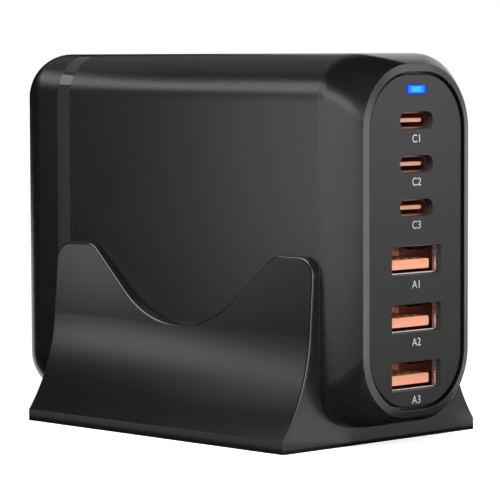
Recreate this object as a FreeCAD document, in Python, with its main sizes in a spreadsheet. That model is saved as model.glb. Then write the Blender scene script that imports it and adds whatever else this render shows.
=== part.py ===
"""Multi-port USB charger standing in its flared stand, as a parametric document.

X runs along the charger with the sockets at +X, Y across it and Z up from the table.  The origin is
the middle of the stand's foot.  Sizes are in millimetres and angles in degrees.
"""
import FreeCAD, Part
import math
import os

import Sketcher
from FreeCAD import Vector

# Driving dimensions
SIZES = {
    # stand
    "stand_length": 73.5,
    "stand_width": 53.2,
    "stand_floor": 3.5,
    "lip_height": 2.1,
    "lip_round": 0.5,
    "flare_radius": 36.6,
    "plate_thick": 1.33,
    "plate_lean": 4,
    "horn_height": 36.1,
    "horn_outer_round": 4,
    "horn_inner_round": 4,
    "dip_height": 21.35,
    "dip_radius": 24,
    "wave_slope": 41,
    "stand_edge": 0.5,
    "cradle_gap": 0.15,
    "foot_wall": 1.8,
    "foot_rib": 1.6,
    "foot_hollow": 9.5,
    # housing
    "shell_wall": 1.8,
    "body_corner": 9,
    "sleeve_length": 71.15,
    "band_width": 3.75,
    "seam_chamfer": 0.15,
    "fit_gap": 0.1,
    "spigot_length": 3.4,
    "spigot_wall": 1.2,
    # rear cap
    "cap_depth": 14.35,
    "cap_round": 8.6,
    "cap_wall": 2.4,
    "cap_inset": 3,
    # front shroud
    "shroud_depth": 9.2,
    "shroud_taper_across": 2.45,
    "shroud_taper_up": 2.05,
    "rim_thick": 1.42,
    "rim_bevel_width": 1.35,
    "rim_bevel_depth": 0.3,
    # front panel
    "panel_width": 25.25,
    "panel_corner": 10.4,
    "panel_groove": 0.5,
    "panel_recess": 0.3,
    "panel_thick": 1.7,
    "panel_round": 0.35,
    "panel_ledge": 1.2,
    # column of openings, from the panel's upper end down
    "light_margin": 2.8,
    "light_to_usb_c": 5.8,
    "usb_c_pitch": 8.21,
    "usb_c_to_usb_a": 9.83,
    "usb_a_pitch": 10.91,
    "usb_a_margin": 5.95,
    # status light
    "light_width": 5.8,
    "light_height": 1.84,
    "light_gap": 0.05,
    "slot_flat": 0.15,
    "light_flange": 0.5,
    "light_flange_thick": 1,
    "led_size": 2,
    "led_height": 0.8,
    # sockets
    "socket_sheet": 0.3,
    "socket_gap": 0.05,
    "socket_back": 2,
    "tongue_recess": 0.3,
    "tongue_round": 0.3,
    "usb_c_open_width": 9.1,
    "usb_c_open_height": 3.3,
    "usb_c_inner_width": 8.34,
    "usb_c_inner_height": 2.56,
    "usb_c_tongue_width": 6.69,
    "usb_c_tongue_thick": 0.7,
    "usb_a_open_width": 13.5,
    "usb_a_open_height": 5.45,
    "usb_a_open_corner": 0.4,
    "usb_a_inner_width": 12.5,
    "usb_a_inner_height": 5.12,
    "usb_a_inner_corner": 0.4,
    "usb_a_tongue_width": 11.1,
    "usb_a_tongue_thick": 1.84,
    "usb_a_tongue_drop": 0.9,
    "contact_width": 1,
    "contact_thick": 0.15,
    "contact_length": 6.5,
    "contact_inner": 1,
    "contact_outer": 3.5,
    # boards
    "board_thick": 1.6,
    "board_gap": 0.6,
    "board_corner": 1,
    "port_board_thick": 1.2,
    "rail_height": 3,
    "rail_groove": 1.8,
    "rail_side": 1.2,
    "tab_height": 26,
    "tab_reach": 2,
    # mains inlet
    "inlet_width": 10.4,
    "inlet_height": 20.4,
    "inlet_corner": 4.5,
    "inlet_depth": 14.5,
    "inlet_flange": 1.2,
    "inlet_flange_thick": 1.5,
    "inlet_recess": 11.5,
    "inlet_lobe": 4,
    "inlet_waist": 5.6,
    "pin_radius": 1.2,
    "pin_edge": 0.7,
    "pin_pitch": 8.6,
    "pin_recess": 1.5,
    "terminal_width": 2,
    "terminal_thick": 0.8,
    # parts on the main board
    "part_round": 0.5,
    "can_edge": 0.5,
    "core_length": 22,
    "core_height": 24,
    "core_depth": 12,
    "core_leg": 6,
    "core_yoke": 4,
    "winding_wall": 4.6,
    "winding_stand": 2.2,
    "transformer_rise": 14,
    "bulk_radius": 6.5,
    "bulk_length": 22,
    "bulk_drop": 8.5,
    "bulk_pitch": 14.5,
    "rear_column": 8,
    "x_cap_length": 13,
    "x_cap_height": 15,
    "x_cap_depth": 11,
    "x_cap_drop": 21,
    "choke_radius": 7.5,
    "choke_hole": 3.5,
    "choke_depth": 8,
    "choke_edge": 1.1,
    "choke_drop": 3,
    "bridge_length": 10,
    "bridge_height": 11,
    "bridge_depth": 3.5,
    "bridge_rise": 12,
    "fuse_radius": 4.2,
    "fuse_depth": 8,
    "fuse_rise": 24,
    "front_column": 6.5,
    "output_can_radius": 4,
    "output_can_depth": 12,
    "output_can_inner": 15.5,
    "output_can_outer": 25,
    "inductor_size": 6,
    "inductor_depth": 4.5,
    "inductor_pitch": 7.2,
    # heat path on the back of the main board
    "switch_size": 8,
    "switch_thick": 0.9,
    "switch_pitch": 13,
    "heat_rise": 8,
    "pad_length": 28,
    "pad_height": 20,
    "pad_thick": 2.4,
    "spreader_length": 46,
    "spreader_height": 44,
    "spreader_thick": 1.5,
}

# Sizes and places that follow from the driving dimensions
PLACES = {
    "panel_height": "Sizes.light_margin + Sizes.light_to_usb_c + 2 * Sizes.usb_c_pitch"
                    " + Sizes.usb_c_to_usb_a + 2 * Sizes.usb_a_pitch + Sizes.usb_a_margin",
    "opening_width": "Sizes.panel_width + 2 * Sizes.panel_groove",
    "opening_height": "panel_height + 2 * Sizes.panel_groove",
    "rim_width": "opening_width + 2 * Sizes.rim_thick",
    "rim_height": "opening_height + 2 * Sizes.rim_thick",
    "opening_corner": "Sizes.panel_corner + Sizes.panel_groove",
    "rim_corner": "opening_corner + Sizes.rim_thick",
    "body_width": "rim_width + 2 * Sizes.shroud_taper_across",
    "body_height": "rim_height + 2 * Sizes.shroud_taper_up",
    "inner_width": "body_width - 2 * Sizes.shell_wall",
    "inner_height": "body_height - 2 * Sizes.shell_wall",
    "inner_corner": "Sizes.body_corner - Sizes.shell_wall",
    "spigot_width": "inner_width - 2 * Sizes.fit_gap",
    "spigot_height": "inner_height - 2 * Sizes.fit_gap",
    "spigot_corner": "inner_corner - Sizes.fit_gap",
    # stations along the charger
    "x_seam": "Sizes.stand_length / 2",
    "x_front": "x_seam + Sizes.shroud_depth",
    "x_band": "x_seam - Sizes.sleeve_length",
    "x_cap": "x_band - Sizes.band_width",
    "x_rear": "x_cap - Sizes.cap_depth",
    "x_panel": "x_front - Sizes.panel_recess",
    "x_mouth": "x_panel - Sizes.panel_thick",
    "x_port_board": "x_seam - Sizes.spigot_length",
    "x_board_front": "x_port_board - Sizes.port_board_thick",
    "x_board_rear": "x_band + Sizes.spigot_length + Sizes.board_gap",
    "x_board_middle": "(x_board_front + x_board_rear) / 2",
    "x_inlet_back": "x_rear + Sizes.inlet_depth",
    "socket_length": "x_mouth - x_port_board",
    "board_length": "x_board_front - x_board_rear",
    # stations across it, through the stack from the housing's wall to the main board
    "y_spreader": "inner_width / 2 - Sizes.fit_gap - Sizes.spreader_thick",
    "y_pad": "y_spreader - Sizes.pad_thick",
    "y_board_back": "y_pad - Sizes.switch_thick",
    "y_board_face": "y_board_back - Sizes.board_thick",
    # heights
    "z_body": "Sizes.stand_floor + body_height / 2",
    "light_rise": "panel_height / 2 - Sizes.light_margin",
    "usb_c_rise": "light_rise - Sizes.light_to_usb_c",
    "usb_a_rise": "usb_c_rise - 2 * Sizes.usb_c_pitch - Sizes.usb_c_to_usb_a",
    "board_half": "inner_height / 2 - Sizes.rail_height + Sizes.rail_groove - Sizes.fit_gap",
    # stand: half widths, and the middle of the flare's arc, tangent to plate and lip
    "cradle_half": "body_width / 2 + Sizes.cradle_gap",
    "plate_half": "cradle_half + Sizes.plate_thick",
    "foot_half": "Sizes.stand_width / 2",
    "lean_cos": "cos(Sizes.plate_lean)",
    "lean_sin": "sin(Sizes.plate_lean)",
    "reach_across": "plate_half + Sizes.flare_radius * lean_cos - foot_half + Sizes.lip_round",
    "reach_up": "Sizes.horn_height + Sizes.flare_radius * lean_sin - Sizes.lip_height",
    "reach_along": "reach_up * lean_cos - reach_across * lean_sin",
    "plate_run": "reach_along - sqrt(reach_along ^ 2 - reach_across ^ 2 - reach_up ^ 2"
                 " + (Sizes.flare_radius + Sizes.lip_round) ^ 2)",
    "flare_y": "plate_half + Sizes.flare_radius * lean_cos + plate_run * lean_sin",
    "flare_z": "Sizes.horn_height + Sizes.flare_radius * lean_sin - plate_run * lean_cos",
    "bay_length": "(Sizes.stand_length - 2 * Sizes.foot_wall - 3 * Sizes.foot_rib) / 4",
}

# How far a cutting outline reaches past the solid that it trims
CUT_PAST = 2
# Steps of the front shroud's loft
SHROUD_STEPS = 4

doc = FreeCAD.newDocument("usb_charger")


def make_sheet(name, cells):
    """Spreadsheet with one named cell a row; a text is a formula, a number is a driving dimension."""
    sheet = doc.addObject("Spreadsheet::Sheet", name)
    for row, (alias, content) in enumerate(cells.items(), start=1):
        sheet.set(f"A{row}", alias)
        sheet.setAlias(f"B{row}", alias)
        sheet.set(f"B{row}", f"={content}" if isinstance(content, str) else str(content))
    doc.recompute()
    return sheet


sizes = make_sheet("Sizes", SIZES)
places = make_sheet("Places", PLACES)


def value(expression):
    """Number that an expression has now, for a sketch's first shape."""
    return float(places.evalExpression(expression))


def new_body(label, x="0", y="0", z="0"):
    """Sub-part with its own frame, placed by three expressions."""
    body = doc.addObject("PartDesign::Body", label)
    body.Label = label
    for axis, expression in zip("xyz", (x, y, z)):
        body.setExpression(f"Placement.Base.{axis}", expression)
    return body


def origin_feature(body, role):
    return next(item for item in body.Origin.OriginFeatures if item.Role == role)


def new_sketch(body, name, plane, right="0", up="0", out="0"):
    """Sketch on one of the body's own planes, shifted in the plane and along its normal."""
    sketch = body.newObject("Sketcher::SketchObject", name)
    sketch.AttachmentSupport = [(origin_feature(body, plane + "_Plane"), "")]
    sketch.MapMode = "FlatFace"
    for axis, expression in zip("xyz", (right, up, out)):
        sketch.setExpression(f"AttachmentOffset.Base.{axis}", expression)
    return sketch


def add_line(sketch, start, end):
    return sketch.addGeometry(Part.LineSegment(Vector(*start, 0), Vector(*end, 0)), False)


def add_arc(sketch, centre, radius, first, last):
    circle = Part.Circle(Vector(*centre, 0), Vector(0, 0, 1), radius)
    return sketch.addGeometry(Part.ArcOfCircle(circle, math.radians(first), math.radians(last)), False)


def tie(sketch, kind, *ends):
    sketch.addConstraint(Sketcher.Constraint(kind, *ends))


def size(sketch, name, expression, kind, *ends):
    """Dimension of a sketch that follows an expression."""
    now = value(expression)
    if kind == "Angle":
        now = math.radians(now)
        expression = f"({expression}) * 1 deg"
    index = sketch.addConstraint(Sketcher.Constraint(kind, *ends, now))
    sketch.renameConstraint(index, name)
    sketch.setExpression(f"Constraints.{name}", expression)


def rounded_rectangle(sketch, width, height, corner, tag="outer"):
    """Closed outline of four lines and four equal arcs about the sketch's origin."""
    half_width, half_height, radius = value(width) / 2, value(height) / 2, value(corner)
    inner_x, inner_y = half_width - radius, half_height - radius
    ends = [
        ((-inner_x, -half_height), (inner_x, -half_height), (inner_x, -inner_y), 270),
        ((half_width, -inner_y), (half_width, inner_y), (inner_x, inner_y), 0),
        ((inner_x, half_height), (-inner_x, half_height), (-inner_x, inner_y), 90),
        ((-half_width, inner_y), (-half_width, -inner_y), (-inner_x, -inner_y), 180),
    ]
    lines, arcs = [], []
    for start, end, centre, first in ends:
        lines.append(add_line(sketch, start, end))
        arcs.append(add_arc(sketch, centre, radius, first, first + 90))
    for k in range(4):
        tie(sketch, "Tangent", lines[k], 2, arcs[k], 1)
        tie(sketch, "Tangent", arcs[k], 2, lines[(k + 1) % 4], 1)
        tie(sketch, "Vertical" if k % 2 else "Horizontal", lines[k])
    for k in range(1, 4):
        tie(sketch, "Equal", arcs[0], arcs[k])
    tie(sketch, "Symmetric", arcs[0], 3, arcs[2], 3, -1, 1)
    size(sketch, tag + "_width", width, "DistanceX", lines[3], 1, lines[1], 1)
    size(sketch, tag + "_height", height, "DistanceY", lines[0], 1, lines[2], 1)
    size(sketch, tag + "_corner", corner, "Radius", arcs[0])


def rectangle(sketch, width, height, right, tag):
    """Plain rectangle that stands on the sketch's horizontal axis, centred at a distance to the right."""
    half, tall, middle = value(width) / 2, value(height), value(right)
    corners = [(middle - half, 0), (middle + half, 0), (middle + half, tall), (middle - half, tall)]
    lines = [add_line(sketch, corners[k], corners[(k + 1) % 4]) for k in range(4)]
    for k in range(4):
        tie(sketch, "Coincident", lines[k], 2, lines[(k + 1) % 4], 1)
        tie(sketch, "Vertical" if k % 2 else "Horizontal", lines[k])
    tie(sketch, "PointOnObject", lines[0], 1, -1)
    size(sketch, tag + "_from", f"{right} - {width} / 2", "DistanceX", -1, 1, lines[0], 1)
    size(sketch, tag + "_width", width, "DistanceX", lines[0], 1, lines[0], 2)
    size(sketch, tag + "_height", height, "DistanceY", lines[1], 1, lines[1], 2)


def circle(sketch, radius, tag="outer"):
    index = sketch.addGeometry(Part.Circle(Vector(0, 0, 0), Vector(0, 0, 1), value(radius)), False)
    tie(sketch, "Coincident", index, 3, -1, 1)
    size(sketch, tag + "_radius", radius, "Radius", index)


def pad(body, sketch, length, back=False):
    feature = body.newObject("PartDesign::Pad", sketch.Name + "_pad")
    feature.Profile = sketch
    feature.Reversed = back
    feature.setExpression("Length", length)
    doc.recompute()
    return feature


def pocket(body, sketch, length=None, back=False):
    """Cut along the sketch's normal, against it by default, to a length or right through."""
    before = body.Shape.Volume
    feature = body.newObject("PartDesign::Pocket", sketch.Name + "_pocket")
    feature.Profile = sketch
    feature.Reversed = back
    if length is None:
        feature.Type = "ThroughAll"
    else:
        feature.setExpression("Length", length)
    doc.recompute()
    if body.Shape.Volume >= before:
        raise RuntimeError(f"{feature.Name} removes nothing")
    return feature


def loft(body, sketches, kind="AdditiveLoft", ruled=True):
    """Transition through outlines of the same make, straight from one to the next or smooth."""
    feature = body.newObject("PartDesign::" + kind, f"{sketches[0].Name}_loft")
    feature.Profile = sketches[0]
    feature.Sections = sketches[1:]
    feature.Ruled = ruled
    doc.recompute()
    return feature


def pattern(body, original, role, length, count, back=False):
    feature = body.newObject("PartDesign::LinearPattern", original.Name + "_pattern")
    feature.Originals = [original]
    feature.Direction = (origin_feature(body, role), [""])
    feature.Reversed = back
    feature.Occurrences = count
    feature.setExpression("Length", length)
    body.Tip = feature
    doc.recompute()
    return feature


def mirror(body, role):
    """The whole solid so far, doubled across one of the body's planes."""
    feature = body.newObject("PartDesign::Mirrored", f"{body.Name}_mirrored_{role[:2].lower()}")
    feature.TransformMode = "Whole shape"
    feature.MirrorPlane = (origin_feature(body, role), [""])
    body.Tip = feature
    doc.recompute()
    return feature


def edge_names(shape, edges):
    return [f"Edge{k}" for k, edge in enumerate(shape.Edges, start=1) if any(edge.isSame(e) for e in edges)]


def end_outline(body, direction):
    """Edges round the flat face that lies furthest along a direction, in the body's own frame."""
    shape = body.Tip.Shape
    flat = [f for f in shape.Faces if f.normalAt(0, 0).dot(direction) > 0.999]
    face = max(flat, key=lambda f: f.CenterOfMass.dot(direction))
    return edge_names(shape, face.OuterWire.Edges)


def dress(body, kind, names, amount):
    """Fillet or chamfer on named edges of the body's last feature."""
    base = body.Tip
    feature = body.newObject("PartDesign::" + kind, f"{body.Name}_{kind.lower()}_{len(body.Group)}")
    feature.Base = (base, names)
    feature.setExpression("Radius" if kind == "Fillet" else "Size", amount)
    doc.recompute()
    return feature


def block(label, x, y, z, plane, width, height, depth, corner="Sizes.part_round", back=False):
    """Sub-part made as one pad of a rounded rectangle."""
    body = new_body(label, x, y, z)
    sketch = new_sketch(body, label + "_outline", plane)
    rounded_rectangle(sketch, width, height, corner)
    pad(body, sketch, depth, back)
    return body


def slab(label, x, y, z, plane, width, height, depth, back=False):
    """Sub-part cut square from sheet or strip."""
    body = new_body(label, x, y, z)
    sketch = new_sketch(body, label + "_outline", plane, up=f"-({height}) / 2")
    rectangle(sketch, width, height, "0", "outer")
    pad(body, sketch, depth, back)
    return body


def can(label, x, y, z, plane, radius, length, back=False):
    """Round can with its far rim chamfered."""
    body = new_body(label, x, y, z)
    sketch = new_sketch(body, label + "_outline", plane)
    circle(sketch, radius)
    pad(body, sketch, length, back)
    normal = {"YZ": Vector(1, 0, 0), "XZ": Vector(0, -1, 0)}[plane]
    dress(body, "Chamfer", end_outline(body, -normal if back else normal), "Sizes.can_edge")
    return body


BODY = ("Places.body_width", "Places.body_height", "Sizes.body_corner")
INNER = ("Places.inner_width", "Places.inner_height", "Places.inner_corner")
SPIGOT = ("Places.spigot_width", "Places.spigot_height", "Places.spigot_corner")
RIM = ("Places.rim_width", "Places.rim_height", "Places.rim_corner")
OPENING = ("Places.opening_width", "Places.opening_height", "Places.opening_corner")
PANEL = ("Sizes.panel_width", "Places.panel_height", "Sizes.panel_corner")
FORWARD = Vector(1, 0, 0)
BACKWARD = Vector(-1, 0, 0)


def slot(width, height):
    """Outline of a lying slot with nearly full round ends."""
    return width, height, f"({height} - Sizes.slot_flat) / 2"


def inside(spans, step):
    """The same outline one step further in."""
    width, height, corner = spans
    return f"({width} - 2 * {step})", f"({height} - 2 * {step})", f"({corner} - {step})"


# Stand: one quarter of the moulding, mirrored twice

def stand_section(sketch):
    """Half of the stand's end view: foot, lip, flare and leaning plate."""
    foot, lip, bead = value("Places.foot_half"), value("Sizes.lip_height"), value("Sizes.lip_round")
    flare = (value("Places.flare_y"), value("Places.flare_z"))
    radius, lean = value("Sizes.flare_radius"), value("Sizes.plate_lean")
    top_y = f"Places.plate_half - {CUT_PAST} * tan(Sizes.plate_lean)"
    top_z = f"Sizes.horn_height + {CUT_PAST}"
    crown = (value(top_y), value(top_z))
    bead_middle = (foot - bead, lip)
    turn = math.degrees(math.atan2(flare[1] - bead_middle[1], flare[0] - bead_middle[0]))
    spring_y = flare[0] - radius * math.cos(math.radians(lean))
    spring_z = flare[1] - radius * math.sin(math.radians(lean))
    base = add_line(sketch, (0, 0), (foot, 0))
    side = add_line(sketch, (foot, 0), (foot, lip))
    edge = add_arc(sketch, bead_middle, bead, 0, turn)
    bow = add_arc(sketch, flare, radius, 180 + lean, 180 + turn)
    plate = add_line(sketch, (spring_y, spring_z), crown)
    top = add_line(sketch, crown, (0, crown[1]))
    middle = add_line(sketch, (0, crown[1]), (0, 0))
    tie(sketch, "Coincident", base, 1, -1, 1)
    tie(sketch, "Horizontal", base)
    tie(sketch, "Coincident", base, 2, side, 1)
    tie(sketch, "Vertical", side)
    tie(sketch, "Tangent", side, 2, edge, 1)
    tie(sketch, "Tangent", edge, 2, bow, 2)
    tie(sketch, "Tangent", bow, 1, plate, 1)
    tie(sketch, "Coincident", plate, 2, top, 1)
    tie(sketch, "Horizontal", top)
    tie(sketch, "Coincident", top, 2, middle, 1)
    tie(sketch, "Vertical", middle)
    tie(sketch, "Coincident", middle, 2, base, 1)
    size(sketch, "foot_half", "Places.foot_half", "DistanceX", -1, 1, base, 2)
    size(sketch, "lip_height", "Sizes.lip_height", "DistanceY", side, 1, side, 2)
    size(sketch, "lip_round", "Sizes.lip_round", "Radius", edge)
    size(sketch, "flare_radius", "Sizes.flare_radius", "Radius", bow)
    size(sketch, "plate_lean", "90 + Sizes.plate_lean", "Angle", plate)
    size(sketch, "crown_across", top_y, "DistanceX", -1, 1, plate, 2)
    size(sketch, "crown_up", top_z, "DistanceY", -1, 1, plate, 2)


def stand_wave(sketch):
    """Half of what is cut away above the wave: dip, slope and horn, closed past the solid."""
    end, horn = value("Sizes.stand_length") / 2, value("Sizes.horn_height")
    dip, dip_radius = value("Sizes.dip_height"), value("Sizes.dip_radius")
    slope = value("Sizes.wave_slope")
    outer, inner = value("Sizes.horn_outer_round"), value("Sizes.horn_inner_round")
    across, rise = math.sin(math.radians(slope)), math.cos(math.radians(slope))
    foot = (dip_radius * across, dip + dip_radius * (1 - rise))
    shoulder_z = horn - inner * (1 - rise)
    shoulder = (foot[0] + (shoulder_z - foot[1]) * rise / across, shoulder_z)
    brow = (shoulder[0] + inner * across, horn - inner)
    top, past = horn + CUT_PAST, end + CUT_PAST
    trough = add_arc(sketch, (0, dip + dip_radius), dip_radius, 270, 270 + slope)
    ramp = add_line(sketch, foot, shoulder)
    turn = add_arc(sketch, brow, inner, 90, 90 + slope)
    flat = add_line(sketch, (brow[0], horn), (end - outer, horn))
    corner = add_arc(sketch, (end - outer, horn - outer), outer, 0, 90)
    sill = add_line(sketch, (end, horn - outer), (past, horn - outer))
    far = add_line(sketch, (past, horn - outer), (past, top))
    lid = add_line(sketch, (past, top), (0, top))
    middle = add_line(sketch, (0, top), (0, dip))
    tie(sketch, "PointOnObject", trough, 3, -2)
    tie(sketch, "PointOnObject", trough, 1, -2)
    tie(sketch, "Tangent", trough, 2, ramp, 1)
    tie(sketch, "Tangent", ramp, 2, turn, 2)
    tie(sketch, "Tangent", turn, 1, flat, 1)
    tie(sketch, "Horizontal", flat)
    tie(sketch, "Tangent", flat, 2, corner, 2)
    tie(sketch, "Horizontal", corner, 1, corner, 3)
    tie(sketch, "Coincident", corner, 1, sill, 1)
    tie(sketch, "Horizontal", sill)
    tie(sketch, "Coincident", sill, 2, far, 1)
    tie(sketch, "Vertical", far)
    tie(sketch, "Coincident", far, 2, lid, 1)
    tie(sketch, "Horizontal", lid)
    tie(sketch, "Coincident", lid, 2, middle, 1)
    tie(sketch, "Vertical", middle)
    tie(sketch, "Coincident", middle, 2, trough, 1)
    size(sketch, "dip_middle", "Sizes.dip_height + Sizes.dip_radius", "DistanceY", -1, 1, trough, 3)
    size(sketch, "dip_radius", "Sizes.dip_radius", "Radius", trough)
    size(sketch, "wave_slope", "Sizes.wave_slope", "Angle", ramp)
    size(sketch, "horn_inner_round", "Sizes.horn_inner_round", "Radius", turn)
    size(sketch, "horn_height", "Sizes.horn_height", "DistanceY", -1, 1, flat, 1)
    size(sketch, "horn_outer_round", "Sizes.horn_outer_round", "Radius", corner)
    size(sketch, "half_length", "Sizes.stand_length / 2", "DistanceX", -1, 1, corner, 1)
    size(sketch, "past_end", str(CUT_PAST), "DistanceX", sill, 1, sill, 2)
    size(sketch, "past_top", f"Sizes.horn_height + {CUT_PAST}", "DistanceY", -1, 1, far, 2)


def stand_hollow(sketch):
    """Half of the space under the stand: one wall inside the flare and one wall below the cradle."""
    wall, ceiling = value("Sizes.foot_wall"), value("Sizes.foot_hollow")
    flare = (value("Places.flare_y"), value("Places.flare_z"))
    radius = value("Sizes.flare_radius") + wall
    side_y = value("Places.foot_half") - wall
    side_z = flare[1] - math.sqrt(radius ** 2 - (flare[0] - side_y) ** 2)
    bowl_radius = value("Sizes.body_corner") + wall
    bowl = (value("Places.cradle_half - Sizes.body_corner"), value("Sizes.stand_floor + Sizes.body_corner"))
    floor = bowl[1] - bowl_radius
    bow_y = flare[0] - math.sqrt(radius ** 2 - (flare[1] - ceiling) ** 2)
    bowl_y = bowl[0] + math.sqrt(bowl_radius ** 2 - (bowl[1] - ceiling) ** 2)
    low = math.degrees(math.atan2(side_z - flare[1], side_y - flare[0])) % 360
    high = math.degrees(math.atan2(ceiling - flare[1], bow_y - flare[0])) % 360
    tip = math.degrees(math.atan2(ceiling - bowl[1], bowl_y - bowl[0])) % 360
    base = add_line(sketch, (0, 0), (side_y, 0))
    side = add_line(sketch, (side_y, 0), (side_y, side_z))
    bow = add_arc(sketch, flare, radius, high, low)
    roof = add_line(sketch, (bow_y, ceiling), (bowl_y, ceiling))
    under = add_arc(sketch, bowl, bowl_radius, 270, tip)
    flat = add_line(sketch, (bowl[0], floor), (0, floor))
    middle = add_line(sketch, (0, floor), (0, 0))
    tie(sketch, "Coincident", base, 1, -1, 1)
    tie(sketch, "Horizontal", base)
    tie(sketch, "Coincident", base, 2, side, 1)
    tie(sketch, "Vertical", side)
    tie(sketch, "Coincident", side, 2, bow, 2)
    tie(sketch, "Coincident", bow, 1, roof, 1)
    tie(sketch, "Horizontal", roof)
    tie(sketch, "Coincident", roof, 2, under, 2)
    tie(sketch, "Tangent", under, 1, flat, 1)
    tie(sketch, "Horizontal", flat)
    tie(sketch, "Coincident", flat, 2, middle, 1)
    tie(sketch, "Vertical", middle)
    tie(sketch, "Coincident", middle, 2, base, 1)
    size(sketch, "side_across", "Places.foot_half - Sizes.foot_wall", "DistanceX", -1, 1, base, 2)
    size(sketch, "bow_across", "Places.flare_y", "DistanceX", -1, 1, bow, 3)
    size(sketch, "bow_up", "Places.flare_z", "DistanceY", -1, 1, bow, 3)
    size(sketch, "bow_radius", "Sizes.flare_radius + Sizes.foot_wall", "Radius", bow)
    size(sketch, "roof_up", "Sizes.foot_hollow", "DistanceY", -1, 1, roof, 1)
    size(sketch, "bowl_across", "Places.cradle_half - Sizes.body_corner", "DistanceX", -1, 1, under, 3)
    size(sketch, "bowl_up", "Sizes.stand_floor + Sizes.body_corner", "DistanceY", -1, 1, under, 3)
    size(sketch, "bowl_radius", "Sizes.body_corner + Sizes.foot_wall", "Radius", under)


def skin_edges(shape):
    """Edges between the outer skin (facing +Y) and the faces that end it: the end face and the wave."""
    def facing(face):
        u0, u1, v0, v1 = face.ParameterRange
        return face.normalAt((u0 + u1) / 2, (v0 + v1) / 2)

    found = []
    for edge in shape.Edges:
        normals = [facing(face) for face in shape.ancestorsOfType(edge, Part.Face)]
        if len(normals) == 2 and max(n.y for n in normals) > 0.3:
            other = min(normals, key=lambda n: abs(n.y))
            if abs(other.y) < 0.05 and other.x > -0.99 and other.z > -0.5:
                found.append(edge)
    return edge_names(shape, found)


def make_stand():
    body = new_body("stand")
    section = new_sketch(body, "stand_section", "YZ")
    stand_section(section)
    pad(body, section, "Sizes.stand_length / 2")
    cradle = new_sketch(body, "stand_cradle", "YZ", up="Places.z_body")
    rounded_rectangle(cradle, "2 * Places.cradle_half", "Places.body_height", "Sizes.body_corner")
    pocket(body, cradle, back=True)
    wave = new_sketch(body, "stand_wave", "XZ")
    stand_wave(wave)
    pocket(body, wave)
    dress(body, "Fillet", skin_edges(body.Tip.Shape), "Sizes.stand_edge")
    bay = "Sizes.foot_rib / 2"
    hollow = new_sketch(body, "stand_hollow", "YZ", out=bay)
    stand_hollow(hollow)
    cut = pocket(body, hollow, "Places.bay_length", back=True)
    pattern(body, cut, "X_Axis", "Places.bay_length + Sizes.foot_rib", 2)
    mirror(body, "XZ_Plane")
    mirror(body, "YZ_Plane")
    return body


# Housing

def make_sleeve():
    """Main tube, with a grooved rail above and below for the main board's edges."""
    body = new_body("sleeve", "Places.x_band", z="Places.z_body")
    outline = new_sketch(body, "sleeve_outline", "YZ")
    rounded_rectangle(outline, *BODY)
    pad(body, outline, "Sizes.sleeve_length")
    dress(body, "Chamfer", end_outline(body, FORWARD), "Sizes.seam_chamfer")
    bore = new_sketch(body, "sleeve_bore", "YZ")
    rounded_rectangle(bore, *INNER)
    pocket(body, bore, back=True)
    board_middle = "Places.y_board_face + Sizes.board_thick / 2"
    groove_width = "Sizes.board_thick + 2 * Sizes.fit_gap"
    rail_start = "Sizes.spigot_length + Sizes.board_gap"
    rail_length = "Places.board_length"
    for name, sign in (("upper", 1), ("lower", -1)):
        # each rail is rooted half a wall deep in the tube
        rail_middle = f"{sign} * (Places.inner_height / 2 - Sizes.rail_height / 2 + Sizes.shell_wall / 4)"
        rail = new_sketch(body, f"sleeve_rail_{name}", "YZ", board_middle, rail_middle, rail_start)
        rounded_rectangle(rail, f"{groove_width} + 2 * Sizes.rail_side",
                          "Sizes.rail_height + Sizes.shell_wall / 2", "Sizes.fit_gap")
        pad(body, rail, rail_length)
    groove = new_sketch(body, "sleeve_groove", "YZ", board_middle, "0", rail_start)
    rounded_rectangle(groove, groove_width, "2 * (Places.board_half + Sizes.fit_gap)", "Sizes.fit_gap")
    pocket(body, groove, rail_length, back=True)
    return body


def make_trim_band():
    """Flush ring between sleeve and rear cap, held on the cap's spigot."""
    body = new_body("trim_band", "Places.x_cap", z="Places.z_body")
    ring = new_sketch(body, "trim_band_ring", "YZ")
    rounded_rectangle(ring, *BODY)
    rounded_rectangle(ring, *INNER, tag="inner")
    pad(body, ring, "Sizes.band_width")
    return body


def make_rear_cap():
    """Rounded end with a spigot through the band into the sleeve and the inlet's hole."""
    body = new_body("rear_cap", "Places.x_cap", z="Places.z_body")
    outline = new_sketch(body, "rear_cap_outline", "YZ")
    rounded_rectangle(outline, *BODY)
    pad(body, outline, "Sizes.cap_depth", back=True)
    dress(body, "Fillet", end_outline(body, BACKWARD), "Sizes.cap_round")
    spigot = new_sketch(body, "rear_cap_spigot", "YZ")
    rounded_rectangle(spigot, *SPIGOT)
    spigot_reach = "Sizes.band_width + Sizes.spigot_length"
    pad(body, spigot, spigot_reach)
    hollow = new_sketch(body, "rear_cap_hollow", "YZ", out=spigot_reach)
    bore = inside(SPIGOT, "Sizes.spigot_wall")
    rounded_rectangle(hollow, *bore)
    straight = "(Sizes.cap_depth - Sizes.cap_round)"
    pocket(body, hollow, f"{spigot_reach} + {straight}")
    wide = new_sketch(body, "rear_cap_wide", "YZ", out=f"-{straight}")
    rounded_rectangle(wide, *bore)
    narrow = new_sketch(body, "rear_cap_narrow", "YZ", out="Sizes.cap_wall - Sizes.cap_depth")
    rounded_rectangle(narrow, *(f"{span} - 2 * Sizes.cap_inset" for span in bore[:2]), bore[2])
    loft(body, [wide, narrow], "SubtractiveLoft")
    hole = new_sketch(body, "rear_cap_hole", "YZ", out="-Sizes.cap_depth")
    rounded_rectangle(hole, "Sizes.inlet_width + 2 * Sizes.fit_gap",
                      "Sizes.inlet_height + 2 * Sizes.fit_gap", "Sizes.inlet_corner + Sizes.fit_gap")
    pocket(body, hole, "Sizes.cap_wall", back=True)
    return body


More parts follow.
